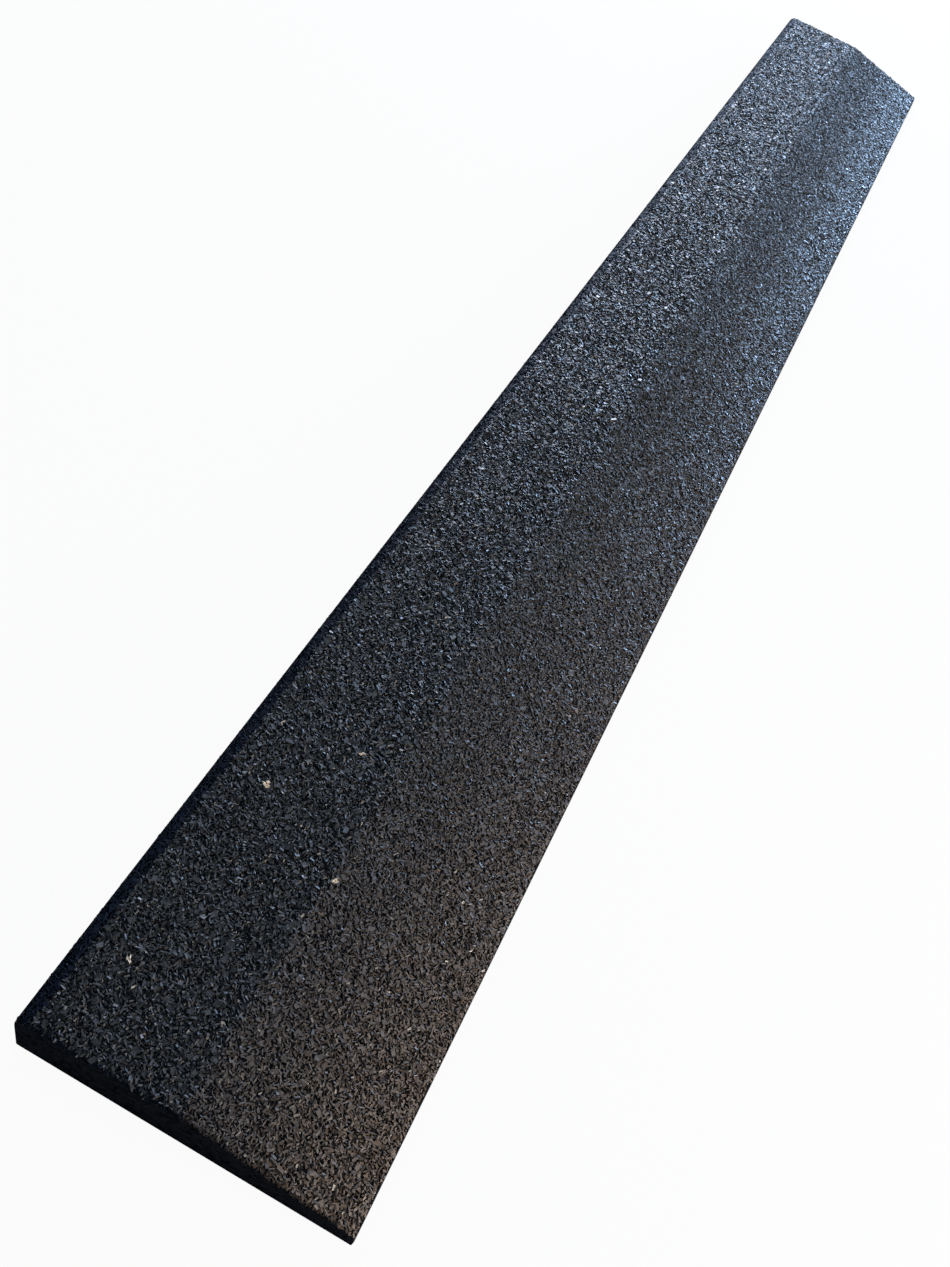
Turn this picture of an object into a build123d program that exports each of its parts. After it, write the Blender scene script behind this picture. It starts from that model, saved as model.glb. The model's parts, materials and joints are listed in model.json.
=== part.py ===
"""Edge ramp pressed from bonded tyre-rubber crumb: a flat tread that folds and slopes down to a thin front edge.

The strip runs along X. Its high back face is at +Y and its thin front edge at -Y. It stands on Z = 0, with the
origin at the middle of its footprint. A base layer of coarse crumb carries a wear layer over its whole top.
"""

import os
from math import atan2, cos, tan

from build123d import *

# Overall sizes of the strip, in millimetres
ramp_length = 2000.0
ramp_width = 250.0
back_height = 45.0
front_height = 15.0
tread_width = 120.0

# The wear layer lies at one thickness over the base, measured square to the top
wear_thickness = 9.0

# Soft edges of the pressing
fold_radius = 40.0
rim_radius = 6.0
back_corner_radius = 10.0
front_corner_radius = 8.0

# Arched drainage channels across the underside
channel_pitch = 100.0
channel_width = 24.0
channel_depth = 3.5

# Places worked out from the sizes above
back_y = ramp_width / 2
front_y = -ramp_width / 2
fold_y = back_y - tread_width
slope_angle = atan2(back_height - front_height, fold_y - front_y)
channel_count = int(ramp_length // channel_pitch)
channel_radius = (channel_width**2 / 4 + channel_depth**2) / (2 * channel_depth)

# Planes that the sketches lie on
near_end = Plane.YZ.offset(-ramp_length / 2)
channel_axes = Plane.XZ.shift_origin((0, 0, channel_depth - channel_radius))


def surface_line(depth):
    """Draws the line that lies at a depth under the ramp's top, from the back, over the fold, to the front."""
    back = (back_y, back_height - depth)
    fold = (fold_y + depth * tan(slope_angle / 2), back_height - depth)
    front = (front_y, front_height - depth / cos(slope_angle))
    return FilletPolyline(back, fold, front, radius=fold_radius - depth)


def round_corners(layer):
    """Rounds the four upright corners of a layer, so that both layers share one outline."""
    upright = layer.edges().filter_by(Axis.Z).sort_by(Axis.Y)
    fillet(upright[:2], front_corner_radius)
    fillet(upright[2:], back_corner_radius)


# Base layer: the body of the ramp, up to the underside of the wear layer
with BuildPart() as base_layer:
    with BuildSketch(near_end):
        with BuildLine():
            bond_line = surface_line(wear_thickness)
            Polyline(bond_line @ 1, (front_y, 0), (back_y, 0), bond_line @ 0)
        make_face()
    extrude(amount=ramp_length)
    round_corners(base_layer)

    # Drainage channels, open at the back and at the front
    with BuildSketch(channel_axes):
        with GridLocations(channel_pitch, 0, channel_count, 1):
            Circle(channel_radius)
    extrude(amount=ramp_width, both=True, mode=Mode.SUBTRACT)

# Wear layer: tread, fold and slope at one thickness over the base
with BuildPart() as wear_layer:
    with BuildSketch(near_end):
        with BuildLine():
            top_line = surface_line(0)
            bond_line = surface_line(wear_thickness)
            Line(top_line @ 0, bond_line @ 0)
            Line(top_line @ 1, bond_line @ 1)
        make_face()
    extrude(amount=ramp_length)
    round_corners(wear_layer)

    # The rim's corners are tangent, so the rounding that starts on its back edge runs all the way round
    tread = wear_layer.faces().sort_by(Axis.Z)[-1]
    fillet(tread.edges().sort_by(Axis.Y)[-1], rim_radius)

os.makedirs("parts", exist_ok=True)
for layer, name in ((base_layer, "base_layer"), (wear_layer, "wear_layer")):
    layer.part.label = name
    export_step(layer.part, f"parts/{name}.step")
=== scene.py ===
"""Edge ramp pressed from bonded rubber crumb, with its studio, laid out as an add-on and run as a script.

The ramp runs along X, with its high back at +Y and its thin front edge at -Y, and lies on Z = 0.
"""

import json
import math

import bmesh
import bpy
import numpy as np
from bpy.props import FloatProperty, FloatVectorProperty, IntProperty, PointerProperty
from mathutils import Euler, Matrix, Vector

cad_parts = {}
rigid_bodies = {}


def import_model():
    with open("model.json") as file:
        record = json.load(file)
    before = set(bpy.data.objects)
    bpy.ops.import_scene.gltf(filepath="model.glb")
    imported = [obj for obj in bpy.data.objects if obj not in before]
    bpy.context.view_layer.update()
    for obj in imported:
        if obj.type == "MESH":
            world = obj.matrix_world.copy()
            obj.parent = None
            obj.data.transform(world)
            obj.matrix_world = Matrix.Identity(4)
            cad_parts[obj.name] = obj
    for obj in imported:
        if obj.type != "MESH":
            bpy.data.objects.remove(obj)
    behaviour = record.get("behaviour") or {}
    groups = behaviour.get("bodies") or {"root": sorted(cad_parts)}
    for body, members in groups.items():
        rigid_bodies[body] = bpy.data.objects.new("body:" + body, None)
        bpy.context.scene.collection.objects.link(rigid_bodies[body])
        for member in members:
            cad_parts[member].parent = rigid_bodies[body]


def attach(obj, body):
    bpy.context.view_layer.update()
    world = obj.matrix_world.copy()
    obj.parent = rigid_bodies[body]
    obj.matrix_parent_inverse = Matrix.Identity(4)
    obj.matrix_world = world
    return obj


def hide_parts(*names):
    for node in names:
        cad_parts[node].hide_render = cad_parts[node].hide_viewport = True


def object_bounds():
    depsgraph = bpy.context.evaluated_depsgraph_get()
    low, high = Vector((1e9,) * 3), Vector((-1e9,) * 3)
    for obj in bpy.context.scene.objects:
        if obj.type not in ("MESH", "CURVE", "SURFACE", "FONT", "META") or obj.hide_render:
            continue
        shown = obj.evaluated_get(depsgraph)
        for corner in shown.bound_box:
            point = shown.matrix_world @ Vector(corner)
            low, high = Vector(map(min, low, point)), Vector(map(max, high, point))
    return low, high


bl_info = {
    "name": "Rubber Crumb Edge Ramp",
    "version": (1, 0, 0),
    "blender": (4, 5, 0),
    "location": "View3D > Sidebar > Edge Ramp",
    "description": "Models an edge ramp pressed from rubber crumb and sets up its studio",
    "category": "Add Mesh",
}

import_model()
CAD_LOW, CAD_HIGH = [list(corner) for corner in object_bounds()]
BODY = "root"


class RampSizes(bpy.types.PropertyGroup):
    """Sizes of the ramp, in metres."""

    length: FloatProperty(
        name="Length", description="From end to end", default=CAD_HIGH[0] - CAD_LOW[0], unit="LENGTH"
    )
    width: FloatProperty(
        name="Width", description="From back to front", default=CAD_HIGH[1] - CAD_LOW[1], unit="LENGTH"
    )
    back_height: FloatProperty(
        name="Back height", description="Height of the flat tread", default=CAD_HIGH[2], unit="LENGTH"
    )
    front_height: FloatProperty(
        name="Front height", description="Height of the front edge", default=0.015, unit="LENGTH"
    )
    tread_width: FloatProperty(
        name="Tread width", description="From the back to the fold", default=0.120, unit="LENGTH"
    )
    wear_depth: FloatProperty(
        name="Wear depth", description="Depth of the wear layer down the sides", default=0.010, unit="LENGTH"
    )
    rim: FloatProperty(
        name="Rim", description="How far in from the back the rim rounds", default=0.014, unit="LENGTH"
    )
    far_rim: FloatProperty(
        name="Far rim", description="How far in from the far end the rim rounds", default=0.022, unit="LENGTH"
    )
    near_rim: FloatProperty(
        name="Near rim",
        description="How far in from the near end the rim rounds",
        default=0.005,
        unit="LENGTH",
    )
    front_rim: FloatProperty(
        name="Front rim",
        description="How far in from the front edge the rim rounds",
        default=0.005,
        unit="LENGTH",
    )
    fold_band: FloatProperty(
        name="Fold band",
        description="Half the width of the rounding on the fold",
        default=0.005,
        unit="LENGTH",
    )
    channel_pitch: FloatProperty(
        name="Channel pitch", description="Spacing of the drainage channels", default=0.100, unit="LENGTH"
    )
    channel_width: FloatProperty(
        name="Channel width", description="Width of a drainage channel", default=0.024, unit="LENGTH"
    )
    channel_depth: FloatProperty(
        name="Channel depth", description="Depth of a drainage channel", default=0.0035, unit="LENGTH"
    )
    cell: FloatProperty(
        name="Cell",
        description="Size of the cage's cells before they are divided",
        default=0.018,
        unit="LENGTH",
    )
    divisions: IntProperty(
        name="Divisions", description="How often the cage is divided", default=3, min=0, max=5
    )
    segments: IntProperty(
        name="Segments", description="Pieces that the top of the wear layer is cut into", default=10, min=1
    )
    bed_depth: FloatProperty(
        name="Bed depth",
        description="How deep the shreds are bedded into the top",
        default=0.0020,
        unit="LENGTH",
    )
    shred_gap: FloatProperty(
        name="Shred gap",
        description="Least distance between the middles of two shreds",
        default=0.0014,
        unit="LENGTH",
    )


class RampColours(bpy.types.PropertyGroup):
    """Colours of the crumb and of the floor."""

    shred_dark: FloatVectorProperty(
        name="Dark shred", description="Darkest shreds", subtype="COLOR", default=(0.0168, 0.0175, 0.0189)
    )
    shred_light: FloatVectorProperty(
        name="Light shred", description="Lightest shreds", subtype="COLOR", default=(0.054, 0.0558, 0.0593)
    )
    # Painted shade: the bed between the shreds and the hollows of the side grains take this darker colour in
    # place of their shade
    gap: FloatVectorProperty(
        name="Gap", description="Gaps between the shreds", subtype="COLOR", default=(0.006, 0.006, 0.0065)
    )
    # Partly road dust and partly painted warm light on the slope, strongest at the near end
    dust_and_warm_light: FloatVectorProperty(
        name="Dust", description="Road dust on the slope", subtype="COLOR", default=(0.180, 0.1220, 0.0800)
    )
    # Painted shade: the rounded rims and the band along the back are coloured dark blue-black for the dim
    # blue shade that falls there
    edge_shade_dark: FloatVectorProperty(
        name="Dark edge",
        description="Darkest shreds of the rim",
        subtype="COLOR",
        default=(0.0060, 0.0095, 0.0175),
    )
    edge_shade_light: FloatVectorProperty(
        name="Light edge",
        description="Lightest shreds of the rim",
        subtype="COLOR",
        default=(0.015, 0.0230, 0.0400),
    )
    fibre: FloatVectorProperty(
        name="Fibre",
        description="Tan shreds with textile in them",
        subtype="COLOR",
        default=(0.16, 0.125, 0.09),
    )
    webbing: FloatVectorProperty(
        name="Webbing", description="Bits of pale webbing", subtype="COLOR", default=(0.62, 0.50, 0.36)
    )
    # Painted shade: the sides and ends are coloured darker than the top so that they look shaded
    shaded_side_dark: FloatVectorProperty(
        name="Dark side",
        description="Darkest crumb of the sides",
        subtype="COLOR",
        default=(0.013, 0.0140, 0.0168),
    )
    shaded_side_light: FloatVectorProperty(
        name="Light side",
        description="Lightest crumb of the sides",
        subtype="COLOR",
        default=(0.027, 0.0280, 0.0320),
    )
    floor: FloatVectorProperty(
        name="Floor", description="The floor", subtype="COLOR", default=(0.6, 0.6, 0.6)
    )


def add_node(tree, kind, inputs=None, **settings):
    """Adds a node, sets it, and fills its inputs with values or links."""
    made = tree.nodes.new(kind)
    for name, value in settings.items():
        setattr(made, name, value)
    for key, value in (inputs or {}).items():
        if isinstance(value, bpy.types.NodeSocket):
            tree.links.new(value, made.inputs[key])
        else:
            made.inputs[key].default_value = value
    return made


def calc(tree, operation, *values, clamp=False):
    """Adds a Math node and returns its number."""
    inputs = dict(enumerate(values))
    return add_node(tree, "ShaderNodeMath", inputs, operation=operation, use_clamp=clamp).outputs[0]


def product(tree, *values):
    """Multiplies two or more numbers, from the first to the last, and returns the result."""
    result = values[0]
    for value in values[1:]:
        result = calc(tree, "MULTIPLY", result, value)
    return result


def line(tree, value, rise, start):
    """Adds a straight line, start + rise * value, and returns its number."""
    return calc(tree, "MULTIPLY_ADD", value, rise, start)


def ease(tree, value, low, high, to_low=0.0, to_high=1.0):
    """Adds a smooth step from one range to another and returns its number."""
    made = add_node(
        tree,
        "ShaderNodeMapRange",
        {"Value": value, "From Min": low, "From Max": high, "To Min": to_low, "To Max": to_high},
        interpolation_type="SMOOTHSTEP",
    )
    return made.outputs["Result"]


def vector_calc(tree, operation, *values):
    """Adds a Vector Math node and returns its vector."""
    return add_node(tree, "ShaderNodeVectorMath", dict(enumerate(values)), operation=operation).outputs[0]


def measure(tree, operation, *values):
    """Adds a Vector Math node and returns its number."""
    made = add_node(tree, "ShaderNodeVectorMath", dict(enumerate(values)), operation=operation)
    return made.outputs["Value"]


def stretch(tree, vector, factor):
    """Adds a node that multiplies a vector by a number and returns the vector."""
    inputs = {0: vector, "Scale": factor}
    return add_node(tree, "ShaderNodeVectorMath", inputs, operation="SCALE").outputs[0]


def split(tree, vector):
    """Adds a node that takes a vector apart and returns its three numbers."""
    return add_node(tree, "ShaderNodeSeparateXYZ", {0: vector}).outputs


def combine(tree, x, y, z):
    """Adds a node that makes a vector of three numbers and returns it."""
    return add_node(tree, "ShaderNodeCombineXYZ", {0: x, 1: y, 2: z}).outputs[0]


def mix_colour(tree, share, low, high):
    """Adds a colour mix and returns its colour."""
    low = low if isinstance(low, bpy.types.NodeSocket) else (*low, 1)
    high = high if isinstance(high, bpy.types.NodeSocket) else (*high, 1)
    return add_node(tree, "ShaderNodeMix", {0: share, 6: low, 7: high}, data_type="RGBA").outputs[2]


def new_material(name):
    """Makes an empty node material."""
    material = bpy.data.materials.new(name)
    material.use_nodes = True
    material.node_tree.nodes.clear()
    return material, material.node_tree


# Layers of grains in the dense sides: length, width and thickness in metres, turn in degrees
FINE_GRAINS = (
    (0.0036, 0.0024, 0.0030, 40.0),
    (0.0032, 0.0022, 0.0030, 130.0),
)
COARSE_GRAINS = (
    (0.0066, 0.0040, 0.0060, 30.0),
    (0.0058, 0.0036, 0.0056, 120.0),
)
# Lowest level of a grain, how far the levels differ, how far a grain tilts, and how deep its side falls
GRAIN_LEVEL, GRAIN_SPREAD, GRAIN_TILT, GRAIN_FALL = 0.45, 0.55, 0.55, -0.75
# Where the side of a grain begins and ends, from its middle
GRAIN_SIDE = (0.30, 0.80)
# How far each layer is tilted, in radians, and moved on from the last, in grains, so that no two lie alike
LAYER_TILT = (0.3, 0.2)
LAYER_STEP = (17.3, 5.1, 3.7)
# Levels between which the painted shade of the hollows gives way to a grain's own tint
GAP_SHADE_LEVELS = (0.00, 0.45)
# Roughness of the sides: how far it differs, and that of the smoothest grain
SIDE_ROUGH_SPREAD, SIDE_ROUGH_LEAST = 0.25, 0.65
# Bump of the grains: its strength, and its height in metres
BUMP_STRENGTH, BUMP_HEIGHT = 0.35, 0.0006


def lay_grains(tree, place, layers):
    """Lays tilted grains over each other. Returns the level of the uppermost and its random draw."""
    height = draw = None
    for number, (long, wide, thick, turn) in enumerate(layers):
        rotation = (LAYER_TILT[0] * (number - 1), LAYER_TILT[1], math.radians(turn))
        turned = add_node(
            tree,
            "ShaderNodeVectorRotate",
            {"Vector": place, "Rotation": rotation},
            rotation_type="EULER_XYZ",
        ).outputs[0]
        scaled = vector_calc(tree, "MULTIPLY", turned, (1 / long, 1 / wide, 1 / thick))
        step = (LAYER_STEP[0] * number, LAYER_STEP[1], LAYER_STEP[2] * number)
        moved = vector_calc(tree, "ADD", scaled, step)
        cell = add_node(tree, "ShaderNodeTexVoronoi", {"Vector": moved, "Scale": 1.0, "Randomness": 1.0})
        drawn = cell.outputs["Color"]
        reach = vector_calc(tree, "SUBTRACT", moved, cell.outputs["Position"])
        lean = vector_calc(tree, "SUBTRACT", drawn, (0.5, 0.5, 0.5))
        level = line(tree, split(tree, drawn)[0], GRAIN_SPREAD, GRAIN_LEVEL)
        level = line(tree, measure(tree, "DOT_PRODUCT", reach, lean), GRAIN_TILT, level)
        level = line(tree, ease(tree, cell.outputs["Distance"], *GRAIN_SIDE), GRAIN_FALL, level)
        if height is None:
            height, draw = level, drawn
            continue
        over = calc(tree, "GREATER_THAN", level, height)
        mixed = add_node(tree, "ShaderNodeMix", {0: over, 4: draw, 5: drawn}, data_type="VECTOR")
        draw = mixed.outputs[1]
        height = calc(tree, "MAXIMUM", height, level)
    return height, draw


def side_material(name, colours, layers):
    """The dense crumb that the mould's walls leave on the sides, coloured darker than the top as painted
    shade on the sides and ends.
    """
    material, tree = new_material(name)
    place = add_node(tree, "ShaderNodeTexCoord").outputs["Object"]
    height, draw = lay_grains(tree, place, layers)
    draw = split(tree, draw)
    body = mix_colour(tree, draw[1], colours.shaded_side_dark, colours.shaded_side_light)
    # The low parts of the grains are coloured darker, a painted shade in the hollows
    colour = mix_colour(tree, ease(tree, height, *GAP_SHADE_LEVELS), colours.gap, body)
    rough = line(tree, draw[0], SIDE_ROUGH_SPREAD, SIDE_ROUGH_LEAST)
    bump = {"Height": height, "Strength": BUMP_STRENGTH, "Distance": BUMP_HEIGHT}
    normal = add_node(tree, "ShaderNodeBump", bump).outputs[0]
    shader = add_node(
        tree,
        "ShaderNodeBsdfPrincipled",
        {"Base Color": colour, "Roughness": rough, "Specular IOR Level": 0.0, "Normal": normal},
    )
    add_node(tree, "ShaderNodeOutputMaterial", {0: shader.outputs[0]})
    return material


# Seeds of the random numbers that every shred draws
SEEDS = {
    "tint": 11,
    "lift": 13,
    "broad": 14,
    "long": 15,
    "wide": 16,
    "thick": 17,
    "pitch": 20,
    "roll": 22,
    "turn": 24,
}
# Most shreds to a square metre
SHRED_DENSITY = 1.6e6
# Shreds, in metres: the shortest, and how much longer the longest is
SHRED_LENGTH = (0.0022, 0.0030)
# The narrowest, and how much wider the widest is
SHRED_WIDTH = (0.0011, 0.0009)
# The thinnest and the thickest
SHRED_THICKNESS = (0.0018, 0.0024)
# How much longer and wider a broad chip is, in metres, and how much of that webbing has
BROAD_EXTRA = 0.0020
WEBBING_BREADTH = 0.4
# Bits of pale webbing in the crumb: X and Y, and how far each reaches, in metres
WEBBING = (
    (-0.772, 0.083, 0.0024),
    (-0.709, 0.036, 0.0019),
    (-0.811, 0.001, 0.0019),
    (-0.932, 0.089, 0.0015),
)
# Chips are broad only where the top is as level as this
BROAD_RISE = 0.96
# Tints: that of the lightest plain shred, of shreds with textile in them, and how rare those are
PLAIN_TINT, TEXTILE_TINT, TEXTILE_CHANCE = 0.9, 0.95, 0.997
# Tints above which a shred counts as textile and as webbing
TEXTILE_FROM, WEBBING_FROM = 0.93, 0.98
# Share of a shred's tint that is left at the rims, a painted shade where the top turns away, and of the
# dusting, with its painted warm light, that lies just below the fold
RIM_SHADE_TINT, FOLD_DUST = 0.4, 0.25
# How the shreds' depths are spread, and how deep the deepest lies as a share of the bed
LIFT_POWER, LIFT_SHARE = 1.9, -0.8
# How far all shreds stand up away from the rims, in metres
STAND_UP = 0.0004
# Lumps in the bed: their fineness, and the level that stays where it is
LUMP_SCALE, LUMP_LEVEL = 240.0, 0.6
# Most that a shred pitches and rolls, in radians, and how much less a broad chip does
MOST_LEAN = {"pitch": 0.62, "roll": 0.52}
BROAD_CALM = -0.6
# Map of the shreds: repeats of the spread along a metre and its width, the map's span and margins
MAP_REPEATS, MAP_SPREAD, MAP_SPAN = 250.0, 0.008, 0.9
MAP_MARGIN, BED_MARGIN = 0.04, 0.02

# Smooth steps over the bed: from, to, and the values there if they aren't 0 and 1
SINK_BY_RISE = (0.52, 0.90)
# Where the top turns away from up and near the back, the shreds' tint is also darkened, a painted shade
CLEAR_BY_RISE = (0.75, 0.985)
CLEAR_FROM_BACK = (0.004, 0.018)
CLEAR_FROM_FRONT = (0.030, 0.020)
BROAD_BY_SLOPE = (0.0, 1.0, 0.955, 0.975)
LUMP_BY_NOISE = (0.3, 0.7)
LUMP_BY_SLOPE = (0.0, 1.0, 0.0010, 0.0008)
LENGTH_BY_RISE = (0.75, 0.97, 0.6, 1.0)
LOOSE_BY_DUST = (0.0, 0.25, 1.1, 0.8)
LOOSE_BY_FRONT = (0.2, 1.0, 1.0, 0.6)


def random_number(tree, what, low=0.0, high=1.0):
    """Adds a random number for every shred and returns it."""
    made = add_node(tree, "FunctionNodeRandomValue", {"Seed": SEEDS[what]}, data_type="FLOAT")
    made.inputs[2].default_value = low
    made.inputs[3].default_value = high
    return made.outputs[1]


def shift(tree, geometry, offset):
    """Adds a node that moves the points of a geometry and returns the geometry."""
    inputs = {"Geometry": geometry, "Offset": offset}
    return add_node(tree, "GeometryNodeSetPosition", inputs).outputs[0]


def store(tree, geometry, name, value, kind, domain):
    """Adds a node that keeps a value under a name and returns the geometry."""
    return add_node(
        tree,
        "GeometryNodeStoreNamedAttribute",
        {"Geometry": geometry, "Name": name, "Value": value},
        data_type=kind,
        domain=domain,
    ).outputs[0]


def sink_bed(tree, skin, depth):
    """Lowers the skin where shreds cover it and returns it."""
    normal = add_node(tree, "GeometryNodeInputNormal").outputs[0]
    sunk = product(tree, ease(tree, split(tree, normal)[2], *SINK_BY_RISE), -depth)
    return shift(tree, skin, stretch(tree, normal, sunk))


def find_places(tree, position, level, sizes):
    """Tells where a shred lies, as shares from 0 to 1.

    Returns whether it is on the slope, how far down to the front edge, how clear of the rims, and whether
    it is webbing.
    """
    half_width = sizes.width / 2
    fold = half_width - sizes.tread_width
    across = split(tree, position)[1]
    slope = ease(tree, across, fold + sizes.fold_band, fold - sizes.fold_band)
    front = ease(tree, across, fold, -half_width)
    back = ease(tree, across, *[half_width - inset for inset in CLEAR_FROM_BACK])
    clear = calc(tree, "MINIMUM", ease(tree, level, *CLEAR_BY_RISE), back)
    edge = ease(tree, across, *[inset - half_width for inset in CLEAR_FROM_FRONT])
    clear = calc(tree, "MAXIMUM", clear, edge)
    pale = 0.0
    for x, y, reach in WEBBING:
        away = measure(tree, "DISTANCE", position, (x, y, sizes.back_height))
        pale = calc(tree, "MAXIMUM", calc(tree, "LESS_THAN", away, reach), pale)
    return slope, front, clear, pale


def draw_tint(tree, clear, pale):
    """Draws a shred's tint, which is darker near the rims as painted shade."""
    chance = random_number(tree, "tint")
    tint = product(tree, chance, PLAIN_TINT, line(tree, clear, 1 - RIM_SHADE_TINT, RIM_SHADE_TINT))
    rare = calc(tree, "GREATER_THAN", chance, TEXTILE_CHANCE)
    textile = product(tree, rare, product(tree, clear, TEXTILE_TINT))
    return calc(tree, "MAXIMUM", calc(tree, "MAXIMUM", tint, textile), pale)


def draw_lift(tree, position, slope, clear, pale, bed_depth):
    """Draws how far a shred is lifted off the skin or sunk into it. Webbing isn't sunk."""
    noise = {"Vector": position, "Scale": LUMP_SCALE, "Detail": 1.0}
    lumps = add_node(tree, "ShaderNodeTexNoise", noise).outputs[0]
    lumps = calc(tree, "SUBTRACT", ease(tree, lumps, *LUMP_BY_NOISE), LUMP_LEVEL)
    lumps = product(tree, lumps, ease(tree, slope, *LUMP_BY_SLOPE))
    depth = calc(tree, "POWER", random_number(tree, "lift"), LIFT_POWER)
    depth = product(tree, depth, LIFT_SHARE * bed_depth)
    lift = product(tree, calc(tree, "ADD", depth, lumps), clear, calc(tree, "SUBTRACT", 1.0, pale))
    return calc(tree, "ADD", lift, product(tree, clear, STAND_UP))


def draw_size(tree, level, broad):
    """Draws a shred's length, width and thickness. Most are slivers, and those on the rims are shorter."""
    spread = calc(tree, "POWER", random_number(tree, "long"), 2.0)
    long = line(tree, spread, SHRED_LENGTH[1], SHRED_LENGTH[0])
    wide = line(tree, random_number(tree, "wide"), SHRED_WIDTH[1], SHRED_WIDTH[0])
    long = product(tree, long, ease(tree, level, *LENGTH_BY_RISE))
    long = line(tree, broad, BROAD_EXTRA, long)
    wide = line(tree, broad, BROAD_EXTRA, wide)
    return combine(tree, long, wide, random_number(tree, "thick", *SHRED_THICKNESS))


def draw_turn(tree, flat, loose):
    """Draws how a shred is turned and tilted from lying flat."""
    lean = []
    for what, most in MOST_LEAN.items():
        tilt = calc(tree, "POWER", random_number(tree, what, -1.0), 3.0)
        lean.append(product(tree, tilt, product(tree, loose, most)))
    turn = combine(tree, *lean, random_number(tree, "turn", 0.0, math.tau))
    turn = add_node(tree, "FunctionNodeEulerToRotation", {0: turn}).outputs[0]
    inputs = {0: flat, 1: turn}
    return add_node(tree, "FunctionNodeRotateRotation", inputs, rotation_space="LOCAL").outputs[0]


def map_shreds(tree, geometry, position):
    """Maps every shred to its tint and dust, spread a little so that no face is without width on the map."""
    inputs = {"Name": "draw"}
    draw = add_node(tree, "GeometryNodeInputNamedAttribute", inputs, data_type="FLOAT_VECTOR").outputs[0]
    tint, dust_and_warm_light, shred = split(tree, draw)[:3]
    spread = vector_calc(tree, "MULTIPLY", position, (MAP_REPEATS, MAP_REPEATS, 0.0))
    spread = vector_calc(tree, "FRACTION", spread)
    spread = vector_calc(tree, "MULTIPLY", spread, (MAP_SPREAD, MAP_SPREAD, 0.0))
    across = line(tree, shred, line(tree, tint, MAP_SPAN, MAP_MARGIN), BED_MARGIN)
    spot = combine(tree, across, line(tree, dust_and_warm_light, MAP_SPAN, MAP_MARGIN), 0.0)
    return store(tree, geometry, "OFBake", vector_calc(tree, "ADD", spot, spread), "FLOAT2", "CORNER")


def shred_nodes(sizes, shapes):
    """Builds the geometry nodes that bed shreds into the top of the skin, tilted and turned at random."""
    tree = bpy.data.node_groups.new("shred_bed", "GeometryNodeTree")
    tree.interface.new_socket("Geometry", in_out="INPUT", socket_type="NodeSocketGeometry")
    tree.interface.new_socket("Seed", in_out="INPUT", socket_type="NodeSocketInt")
    tree.interface.new_socket("Geometry", in_out="OUTPUT", socket_type="NodeSocketGeometry")
    group = add_node(tree, "NodeGroupInput")
    skin = group.outputs["Geometry"]
    bed = sink_bed(tree, skin, sizes.bed_depth)
    spots = add_node(
        tree,
        "GeometryNodeDistributePointsOnFaces",
        {
            "Mesh": skin,
            "Distance Min": sizes.shred_gap,
            "Density Max": SHRED_DENSITY,
            "Density Factor": 1.0,
            "Seed": group.outputs["Seed"],
        },
        distribute_method="POISSON",
    )
    position = add_node(tree, "GeometryNodeInputPosition").outputs[0]
    normal = spots.outputs["Normal"]
    level = split(tree, normal)[2]
    slope, front, clear, pale = find_places(tree, position, level, sizes)

    # A few shreds are broad chips
    broad = ease(tree, slope, *BROAD_BY_SLOPE)
    broad = calc(tree, "GREATER_THAN", random_number(tree, "broad"), broad)
    broad = product(tree, broad, calc(tree, "GREATER_THAN", level, BROAD_RISE))
    broad = calc(tree, "MAXIMUM", broad, product(tree, pale, WEBBING_BREADTH))

    # The slope is dusty, the more so towards the front, and its crumb lies closer; the dusting also paints
    # warm light onto the slope
    dust_and_warm_light = product(tree, slope, line(tree, front, 1 - FOLD_DUST, FOLD_DUST))
    loose = product(tree, ease(tree, dust_and_warm_light, *LOOSE_BY_DUST), ease(tree, front, *LOOSE_BY_FRONT))
    loose = product(tree, loose, product(tree, clear, line(tree, broad, BROAD_CALM, 1.0)))

    # The last number tells the shreds, 1, from the bed under them, 0
    draw = combine(tree, draw_tint(tree, clear, pale), dust_and_warm_light, 1.0)
    lift = draw_lift(tree, position, slope, clear, pale, sizes.bed_depth)
    points = shift(tree, spots.outputs["Points"], stretch(tree, normal, lift))
    points = store(tree, points, "draw", draw, "FLOAT_VECTOR", "POINT")
    kinds = add_node(
        tree,
        "GeometryNodeCollectionInfo",
        {"Collection": shapes, "Separate Children": True, "Reset Children": True},
    )
    placed = add_node(
        tree,
        "GeometryNodeInstanceOnPoints",
        {
            "Points": points,
            "Instance": kinds.outputs[0],
            "Pick Instance": True,
            "Rotation": draw_turn(tree, spots.outputs["Rotation"], loose),
            "Scale": draw_size(tree, level, broad),
        },
    )
    shreds = add_node(tree, "GeometryNodeRealizeInstances", {"Geometry": placed.outputs[0]})
    joined = add_node(tree, "GeometryNodeJoinGeometry")
    tree.links.new(shreds.outputs[0], joined.inputs[0])
    tree.links.new(bed, joined.inputs[0])
    add_node(tree, "NodeGroupOutput", {0: map_shreds(tree, joined.outputs[0], position)})
    return tree


# Shapes of shred: how many, the first of them that is narrow, and how unevenly their corners lie
SHRED_KINDS, FIRST_NARROW, UNEVEN = 8, 6, 0.20
# Faces of a shred that look down more than this are its underside
UNDERSIDE = -0.7
# How far the top of a shred is drawn in: lengthwise, widthwise for wide and narrow ones, and in height
TOP_LENGTH, TOP_WIDE, TOP_NARROW, TOP_HEIGHT = 0.82, 0.74, 0.35, 0.8


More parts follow.
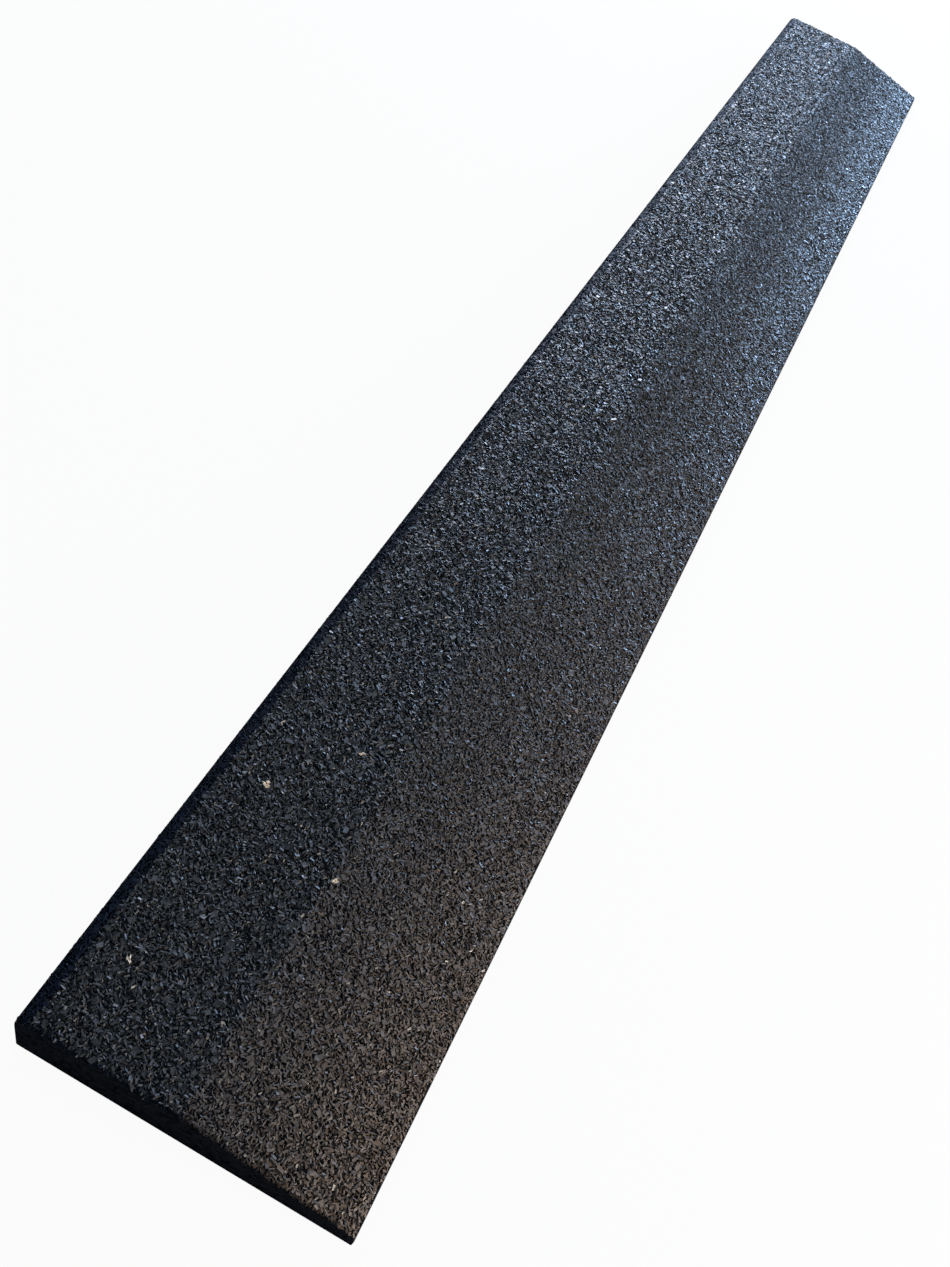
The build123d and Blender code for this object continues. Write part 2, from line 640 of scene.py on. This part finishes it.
def make_shred_shapes():
    """Models the shapes of shred, one unit in size, with their tops at zero and open underneath."""
    shapes = bpy.data.collections.new("shred_shapes")
    bpy.context.scene.collection.children.link(shapes)
    for number in range(SHRED_KINDS):
        bpy.ops.object.select_all(action="DESELECT")
        bpy.ops.mesh.primitive_cube_add(size=1.0, location=(0, 0, -0.5))
        shape = bpy.context.object
        shape.name = f"shred_shape_{number}"
        bpy.ops.object.transform_apply(location=True, rotation=True, scale=True)
        bpy.ops.object.mode_set(mode="EDIT")
        bpy.ops.mesh.select_mode(type="VERT")
        bpy.ops.mesh.select_all(action="SELECT")
        bpy.ops.transform.vertex_random(offset=UNEVEN, uniform=1.0, seed=number)
        select_in(shape.data, "verts", lambda v: v.co.z > -0.5)
        top_width = TOP_WIDE if number < FIRST_NARROW else TOP_NARROW
        bpy.ops.transform.resize(value=(TOP_LENGTH, top_width, TOP_HEIGHT))
        bpy.ops.mesh.select_mode(type="FACE")
        select_in(shape.data, "faces", lambda f: f.normal.z < UNDERSIDE)
        bpy.ops.mesh.delete(type="FACE")
        bpy.ops.object.mode_set(mode="OBJECT")
        for owner in shape.users_collection:
            owner.objects.unlink(shape)
        shapes.objects.link(shape)
    return shapes


# A second random number is the fraction of this many tints
SECOND_DRAW = 7.3
# Fineness of the torn marks, and what brings the lightest plain tint to 1
TORN_SCALE, TINT_SPAN = 800.0, 1.11
# Dust, whose colour also paints warm light, on a shred, and how much rougher it makes it
DUST_SPREAD, DUST_LEAST, DUST_DULL = 0.27, 0.18, 0.7
# Roughness: how far it differs, and that of the glossiest shred
ROUGH_SPREAD, ROUGH_LEAST = 0.40, 0.26
# How strongly the top and the dark rims shine
TOP_SHINE, EDGE_SHINE = 0.5, 0.07

# Smooth steps over the crumb: from, to, and the values there. Those along the ramp run on X, in metres
TINT_BY_TEAR = (0.35, 0.65, 0.4, 1.6)
DUST_AND_WARM_LIGHT_AT_NEAR_END = (-1.06, -0.60, 0.95, 0.0)
DUST_AND_WARM_LIGHT_ALONG = (-0.9, 0.4, 0.75, 0.2)
TREAD_ROUGH_ALONG = (-1.0, -0.1, 1.05, 0.80)
SLOPE_DUST, SLOPE_ROUGH = (0.0, 0.25), 1.25
ROUGH_BY_DUST = (0.30, 1.0, 1.0, 0.72)


def wear_material(name, colours, dark, light, shine):
    """The open crumb of the top: shreds of many tints and of dull and glossy rubber over a black bed."""
    material, tree = new_material(name)
    draw = add_node(tree, "ShaderNodeAttribute", attribute_name="draw").outputs["Vector"]
    tint_drawn, dust_drawn, shred = split(tree, draw)[:3]
    chance = calc(tree, "FRACT", product(tree, tint_drawn, SECOND_DRAW))
    spot = add_node(tree, "ShaderNodeTexCoord").outputs["Object"]
    place = split(tree, spot)[0]

    # Every shred has its tint, with torn marks in it
    noise = {"Vector": spot, "Scale": TORN_SCALE, "Detail": 1.0}
    torn = add_node(tree, "ShaderNodeTexNoise", noise).outputs[0]
    tint = calc(tree, "POWER", product(tree, tint_drawn, TINT_SPAN), 2.0)
    tint = product(tree, tint, ease(tree, torn, *TINT_BY_TEAR))
    body = mix_colour(tree, tint, dark, light)

    # Dust lies on the slope and is thickest at the near end; its warm colour also paints the warm light that
    # falls there
    drift = calc(tree, "ADD", ease(tree, place, *DUST_AND_WARM_LIGHT_AT_NEAR_END), ease(tree, place, *DUST_AND_WARM_LIGHT_ALONG))
    dusted_and_warm_lit = product(tree, dust_drawn, line(tree, chance, DUST_SPREAD, DUST_LEAST), drift)
    body = mix_colour(tree, dusted_and_warm_lit, body, colours.dust_and_warm_light)
    body = mix_colour(tree, calc(tree, "GREATER_THAN", tint_drawn, TEXTILE_FROM), body, colours.fibre)
    body = mix_colour(tree, calc(tree, "GREATER_THAN", tint_drawn, WEBBING_FROM), body, colours.webbing)
    # The bed between the shreds, numbered 0, takes the darker colour, a painted shade between the shreds
    colour = mix_colour(tree, shred, colours.gap, body)

    # The tread is glossier away from the near end, and the slope duller
    tread = ease(tree, place, *TREAD_ROUGH_ALONG)
    rough = line(tree, calc(tree, "SQRT", chance), ROUGH_SPREAD, ROUGH_LEAST)
    rough = product(
        tree,
        rough,
        ease(tree, dust_drawn, *SLOPE_DUST, tread, SLOPE_ROUGH),
        ease(tree, dust_drawn, *ROUGH_BY_DUST),
        line(tree, dusted_and_warm_lit, DUST_DULL, 1.0),
    )
    shader = add_node(
        tree,
        "ShaderNodeBsdfPrincipled",
        {"Base Color": colour, "Roughness": rough, "Specular IOR Level": shine},
    )
    add_node(tree, "ShaderNodeOutputMaterial", {0: shader.outputs[0]})
    return material


# Distances below this count as none, in metres
TOUCH = 1e-5
# Lengths that differ by less than this count as the same, in metres
ALIKE = 1e-4
# Share of an edge's length that has to lie along an axis
STRAIGHT = 0.8
# Faces that look down more than this belong to the underside of the cage
DOWNWARD = -0.5
# Edges of the underside whose two faces' rises add up to less than this run round its outside
OUTSIDE = 1.5
# Edges of more cells than this are divided along the ramp
LONG_RUN = 4
# Which upright corner, by the signs of its X and Y, and how sharp it stays
CORNERS = (
    (1, 1, 0.1),
    (1, -1, 0.45),
    (-1, 1, 0.6),
    (-1, -1, 0.45),
)


def select_in(mesh, kind, test):
    """Selects the vertices, edges or faces of a mesh in edit mode that pass a test, and nothing else."""
    shape = bmesh.from_edit_mesh(mesh)
    bpy.ops.mesh.select_all(action="DESELECT")
    for item in getattr(shape, kind):
        if test(item):
            item.select_set(True)
    shape.select_flush_mode()
    bmesh.update_edit_mesh(mesh)


def middle(edge):
    """Middle of an edge."""
    return (edge.verts[0].co + edge.verts[1].co) / 2


def along(edge, axis):
    """Length of an edge along an axis, if it runs along it."""
    run = edge.verts[1].co - edge.verts[0].co
    return abs(run[axis]) if abs(run[axis]) > STRAIGHT * run.length else 0.0


def is_lower_edge(edge):
    """Whether an edge runs round the underside."""
    if any(v.co.z >= TOUCH for v in edge.verts) or len(edge.link_faces) != 2:
        return False
    return sum(abs(face.normal.z) for face in edge.link_faces) < OUTSIDE


def cut(point, normal):
    """Cuts the selected faces along a plane."""
    bpy.ops.mesh.bisect(plane_co=point, plane_no=normal)


def make_cage(sizes):
    """Models the outside as a cage of quads: a box with fold and rims cut in and its front let down."""
    half_length, half_width = sizes.length / 2, sizes.width / 2
    fold = half_width - sizes.tread_width
    tread = (fold + sizes.fold_band, half_width - sizes.rim)
    slope = (sizes.front_rim - half_width, fold - sizes.fold_band)
    bpy.ops.object.select_all(action="DESELECT")
    bpy.ops.mesh.primitive_cube_add(size=1.0, location=(0, 0, sizes.back_height / 2))
    ramp = bpy.context.object
    bpy.ops.transform.resize(value=(sizes.length, sizes.width, sizes.back_height))
    bpy.ops.object.transform_apply(location=True, rotation=True, scale=True)
    mesh = ramp.data
    bpy.ops.object.mode_set(mode="EDIT")
    bpy.ops.mesh.select_mode(type="VERT")

    # Wear layer's lower edge, fold and rims
    bpy.ops.mesh.select_all(action="SELECT")
    cut((0, 0, sizes.back_height - sizes.wear_depth), (0, 0, 1))
    bpy.ops.mesh.select_all(action="SELECT")
    cut((0, fold, 0), (0, 1, 0))
    for x in (half_length - sizes.far_rim, sizes.near_rim - half_length):
        bpy.ops.mesh.select_all(action="SELECT")
        cut((x, 0, 0), (1, 0, 0))
    bpy.ops.mesh.select_mode(type="FACE")
    for y in (tread[1], slope[0], slope[1], tread[0]):
        select_in(mesh, "faces", lambda f: f.normal.z > DOWNWARD)
        cut((0, y, 0), (0, 1, 0))

    # The slope: everything in front of the fold goes down in proportion
    bpy.ops.mesh.select_mode(type="VERT")
    rows = sorted({round(v.co.y, 6) for v in bmesh.from_edit_mesh(mesh).verts})
    for y in rows:
        drop = (fold - y) / (fold + half_width) * (sizes.back_height - sizes.front_height)
        if drop > 0:
            select_in(mesh, "verts", lambda v: abs(v.co.y - y) < TOUCH and v.co.z > TOUCH)
            bpy.ops.transform.translate(value=(0, 0, -drop))

    # Even cells along and across
    bpy.ops.mesh.select_mode(type="EDGE")
    select_in(mesh, "edges", lambda e: along(e, 0) > LONG_RUN * sizes.cell)
    bpy.ops.mesh.subdivide(number_cuts=round(sizes.length / sizes.cell) - 1)
    for low, high in (slope, tread):
        select_in(mesh, "edges", lambda e: abs(along(e, 1) - (high - low)) < ALIKE)
        bpy.ops.mesh.subdivide(number_cuts=round((high - low) / sizes.cell) - 1, ngon=True)

    # The lower edges stay sharp, and some of the upright corners nearly so
    select_in(mesh, "edges", is_lower_edge)
    bpy.ops.transform.edge_crease(value=1.0)
    for x_sign, y_sign, crease in CORNERS:
        x, y = x_sign * half_length, y_sign * half_width
        select_in(
            mesh,
            "edges",
            lambda e: along(e, 2) > 0 and abs(middle(e).x - x) < TOUCH and abs(middle(e).y - y) < TOUCH,
        )
        bpy.ops.transform.edge_crease(value=crease)
    bpy.ops.object.mode_set(mode="OBJECT")
    return ramp


def apply_modifier(piece, kind, **settings):
    """Adds a modifier to a piece and applies it."""
    made = piece.modifiers.new(kind.lower(), kind)
    for name, value in settings.items():
        if name.startswith("Socket"):
            made[name] = value
        else:
            setattr(made, name, value)
    bpy.context.view_layer.objects.active = piece
    bpy.ops.object.modifier_apply(modifier=made.name)


def arch_channels(mesh, sizes):
    """Lifts the underside and the foot of the sides over the drainage channels."""
    places = np.empty(len(mesh.vertices) * 3, np.float32)
    mesh.vertices.foreach_get("co", places)
    places = places.reshape(-1, 3)
    radius = (sizes.channel_width**2 / 4 + sizes.channel_depth**2) / (2 * sizes.channel_depth)
    off = (places[:, 0] % sizes.channel_pitch) - sizes.channel_pitch / 2
    roof = np.sqrt(np.maximum(radius**2 - off**2, 0)) - (radius - sizes.channel_depth)
    places[:, 2] = np.maximum(places[:, 2], roof)
    mesh.vertices.foreach_set("co", places.ravel())
    mesh.update()


def drop_flat_faces(piece):
    """Dissolves the faces of a piece that the channels leave without area."""
    bpy.ops.object.select_all(action="DESELECT")
    piece.select_set(True)
    bpy.context.view_layer.objects.active = piece
    bpy.ops.object.mode_set(mode="EDIT")
    bpy.ops.mesh.select_all(action="SELECT")
    bpy.ops.mesh.dissolve_degenerate(threshold=2 * TOUCH)
    bpy.ops.object.mode_set(mode="OBJECT")


# Numbers of the pieces that the skin is cut into, of which the lengths of the top come last
BASE, SIDE, EDGE, TOP = range(4)
# Band along the back painted dark blue as shade, and strip along the front edge left without that painted
# shade, in metres
SHADE_PAINTED_BACK, BARE_FRONT = 0.0105, 0.020
# Faces that look up less than this belong to the rim painted dark blue as shade, or to the side
EDGE_RISE, SIDE_RISE = 0.93, 0.50


def read_faces(mesh, field):
    """Reads a vector of every face of a mesh."""
    values = np.empty(len(mesh.polygons) * 3, np.float32)
    mesh.polygons.foreach_get(field, values)
    return values.reshape(-1, 3)


def share_out(mesh, sizes):
    """Gives every face of the smooth skin the number of its piece."""
    centres, normals = read_faces(mesh, "center"), read_faces(mesh, "normal")
    half_width = sizes.width / 2
    fold = half_width - sizes.tread_width
    drop = (sizes.back_height - sizes.front_height) / (fold + half_width)
    top = sizes.back_height - np.maximum(fold - centres[:, 1], 0) * drop
    segment = ((centres[:, 0] / sizes.length + 0.5) * sizes.segments).astype(int)
    number = np.clip(segment, 0, sizes.segments - 1) + TOP
    # Faces turned away from the top, and a band along the back, get the rim's painted shade
    edge = (centres[:, 1] > half_width - SHADE_PAINTED_BACK) | (normals[:, 2] < EDGE_RISE)
    edge &= centres[:, 1] > BARE_FRONT - half_width
    edge &= centres[:, 0] < sizes.length / 2 - sizes.rim
    number[edge] = EDGE
    number[normals[:, 2] < SIDE_RISE] = SIDE
    number[centres[:, 2] < top - sizes.wear_depth] = BASE
    return number.astype(np.int32)


def cut_skin(ramp, names, numbers, sizes):
    """Cuts the skin into pieces, each named by the number of its faces, and arches the channels into it."""
    mesh = ramp.data
    markers = [bpy.data.materials.new(name) for name in names]
    mesh.materials.clear()
    for marker in markers:
        mesh.materials.append(marker)
    mesh.polygons.foreach_set("material_index", numbers)
    arch_channels(mesh, sizes)
    bpy.ops.object.select_all(action="DESELECT")
    ramp.select_set(True)
    bpy.context.view_layer.objects.active = ramp
    bpy.ops.mesh.separate(type="MATERIAL")
    pieces = list(bpy.context.selected_objects)
    for piece in pieces:
        piece.name = piece.data.name = piece.material_slots[0].material.name
    for marker in markers:
        bpy.data.materials.remove(marker)
    return pieces


class RAMP_OT_crumb(bpy.types.Operator):
    """Models the outside of both layers as one pressed skin and cuts it into their pieces"""

    bl_idname = "ramp.crumb"
    bl_label = "Crumb Layers"

    def execute(self, context):
        sizes, colours = context.scene.ramp_sizes, context.scene.ramp_colours
        ramp = make_cage(sizes)
        apply_modifier(ramp, "SUBSURF", levels=sizes.divisions, render_levels=sizes.divisions)
        bpy.ops.object.shade_smooth()
        names = ["base_layer_skin", "wear_layer_rim", "wear_layer_0"]
        names += [f"wear_layer_{i + 1}" for i in range(sizes.segments)]
        pieces = cut_skin(ramp, names, share_out(ramp.data, sizes), sizes)

        top = wear_material("wear_crumb", colours, colours.shred_dark, colours.shred_light, TOP_SHINE)
        finish = {
            BASE: side_material("coarse_crumb", colours, COARSE_GRAINS),
            SIDE: side_material("rim_crumb", colours, FINE_GRAINS),
            EDGE: wear_material("edge_crumb", colours, colours.edge_shade_dark, colours.edge_shade_light, EDGE_SHINE),
        }
        shapes = make_shred_shapes()
        bed = shred_nodes(sizes, shapes)
        for piece in pieces:
            number = names.index(piece.name)
            worn = number != BASE
            if not worn:
                drop_flat_faces(piece)
            if number >= EDGE:
                apply_modifier(piece, "NODES", node_group=bed, Socket_1=number - EDGE)
            piece.data.materials.clear()
            piece.data.materials.append(finish.get(number, top))
            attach(piece, BODY)
            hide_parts("wear_layer" if worn else "base_layer")
        for shape in list(shapes.objects):
            bpy.data.objects.remove(shape)
        bpy.data.collections.remove(shapes)
        return {"FINISHED"}


# Floor: its size, how far it lies below the ramp in metres, and how white it looks
FLOOR_SIZE, FLOOR_DROP, FLOOR_WHITE = 60.0, 0.0005, 0.95
# Light of the sky and its strength
SKY_COLOUR, SKY_STRENGTH = (0.52, 0.73, 1.0, 1), 0.185
WHITE = (1, 1, 1, 1)
# Lamps: place, spot aimed at and size in metres, power in watts, colour
SOFTBOXES = {
    "softbox_left": ((2.9, 0.9, 0.7), (0.8, 0, 0), (1.8, 0.8), 30, (0.35, 0.58, 1.0)),
    "softbox_right": ((2.9, -0.9, 0.7), (0.8, 0, 0), (1.8, 0.8), 146, (0.42, 0.65, 1.0)),
    "softbox_high": ((2.8, 0.9, 1.5), (0.6, 0, 0), (1.8, 0.9), 98, (0.78, 0.85, 1.0)),
    "softbox_key": ((-0.6, -1.8, 0.62), (-0.8, -0.06, 0.02), (0.8, 0.8), 47, (1.0, 0.89, 0.78)),
}
# Camera: place in metres, turn in degrees, lens and sensor in millimetres, reach of its sight in metres
CAMERA_PLACE = (-1.19998, -0.06661, 0.81604)
CAMERA_TURN = (37.994, -14.999, -64.716)
CAMERA_LENS, CAMERA_SENSOR = 33.728, 36.0
CAMERA_CLIP = (0.01, 100.0)


def floor_material(colour):
    """A pale floor that looks white to the camera and in reflections."""
    material, tree = new_material("floor_pale")
    diffuse = add_node(tree, "ShaderNodeBsdfDiffuse", {"Color": (*colour, 1)})
    glow = add_node(tree, "ShaderNodeEmission", {"Color": WHITE, "Strength": 1.0})
    path = add_node(tree, "ShaderNodeLightPath").outputs
    seen = calc(tree, "ADD", path["Is Camera Ray"], path["Is Glossy Ray"], clamp=True)
    seen = calc(tree, "ADD", seen, path["Is Transmission Ray"], clamp=True)
    white = product(tree, seen, FLOOR_WHITE)
    mixed = add_node(tree, "ShaderNodeMixShader", {0: white, 1: diffuse.outputs[0], 2: glow.outputs[0]})
    add_node(tree, "ShaderNodeOutputMaterial", {0: mixed.outputs[0]})
    return material


def make_world():
    """Makes a world that lights with a faint sky and looks white to the camera."""
    world = bpy.data.worlds.new("studio")
    world.use_nodes = True
    tree = world.node_tree
    tree.nodes.clear()
    sky = add_node(tree, "ShaderNodeBackground", {"Color": SKY_COLOUR, "Strength": SKY_STRENGTH})
    plain = add_node(tree, "ShaderNodeBackground", {"Color": WHITE, "Strength": 1.0})
    path = add_node(tree, "ShaderNodeLightPath").outputs
    seen = calc(tree, "ADD", path["Is Camera Ray"], path["Is Transmission Ray"], clamp=True)
    mixed = add_node(tree, "ShaderNodeMixShader", {0: seen, 1: sky.outputs[0], 2: plain.outputs[0]})
    add_node(tree, "ShaderNodeOutputWorld", {0: mixed.outputs[0]})
    return world


def hang_softbox(name, place, aim, size, power, colour):
    """Hangs a lamp that the camera doesn't see."""
    bpy.ops.object.light_add(type="AREA", location=place)
    lamp = bpy.context.object
    lamp.name = name
    lamp.data.shape = "RECTANGLE"
    lamp.data.size, lamp.data.size_y = size
    lamp.data.energy = power
    lamp.data.color = colour
    lamp.visible_camera = False
    lamp.rotation_euler = (Vector(place) - Vector(aim)).to_track_quat("Z", "Y").to_euler()


def make_camera():
    """Makes a camera that looks at the ramp as the photograph does."""
    data = bpy.data.cameras.new("camera")
    data.lens = CAMERA_LENS
    data.sensor_width = CAMERA_SENSOR
    data.clip_start, data.clip_end = CAMERA_CLIP
    camera = bpy.data.objects.new("camera", data)
    camera.location = CAMERA_PLACE
    camera.rotation_euler = Euler([math.radians(angle) for angle in CAMERA_TURN], "XYZ")
    return camera


class RAMP_OT_stage(bpy.types.Operator):
    """Lays the pale floor and sets the lamps, the world and the camera"""

    bl_idname = "ramp.stage"
    bl_label = "Stage"

    def execute(self, context):
        scene = context.scene
        bpy.ops.object.select_all(action="DESELECT")
        bpy.ops.mesh.primitive_plane_add(size=FLOOR_SIZE, location=(0, 0, -FLOOR_DROP))
        floor = context.object
        floor.name = "floor"
        floor.data.materials.append(floor_material(scene.ramp_colours.floor))
        scene.world = make_world()
        for name, settings in SOFTBOXES.items():
            hang_softbox(name, *settings)
        camera = make_camera()
        scene.collection.objects.link(camera)
        scene.camera = camera
        scene.view_settings.view_transform = "Standard"
        return {"FINISHED"}


class RAMP_PT_panel(bpy.types.Panel):
    """Lists the ramp's operators"""

    bl_idname = "RAMP_PT_panel"
    bl_label = "Edge Ramp"
    bl_space_type = "VIEW_3D"
    bl_region_type = "UI"
    bl_category = "Edge Ramp"

    def draw(self, context):
        for kind in OPERATORS:
            self.layout.operator(kind.bl_idname)


OPERATORS = (RAMP_OT_crumb, RAMP_OT_stage)
CLASSES = (RampSizes, RampColours, *OPERATORS, RAMP_PT_panel)


def register():
    """Registers the classes and gives every scene the ramp's sizes and colours."""
    for kind in CLASSES:
        bpy.utils.register_class(kind)
    bpy.types.Scene.ramp_sizes = PointerProperty(type=RampSizes)
    bpy.types.Scene.ramp_colours = PointerProperty(type=RampColours)


def unregister():
    """Takes back what register() did."""
    del bpy.types.Scene.ramp_colours
    del bpy.types.Scene.ramp_sizes
    for kind in reversed(CLASSES):
        bpy.utils.unregister_class(kind)


def main():
    """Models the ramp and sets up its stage."""
    register()
    bpy.ops.ramp.crumb()
    bpy.ops.ramp.stage()


if __name__ == "__main__":
    main()
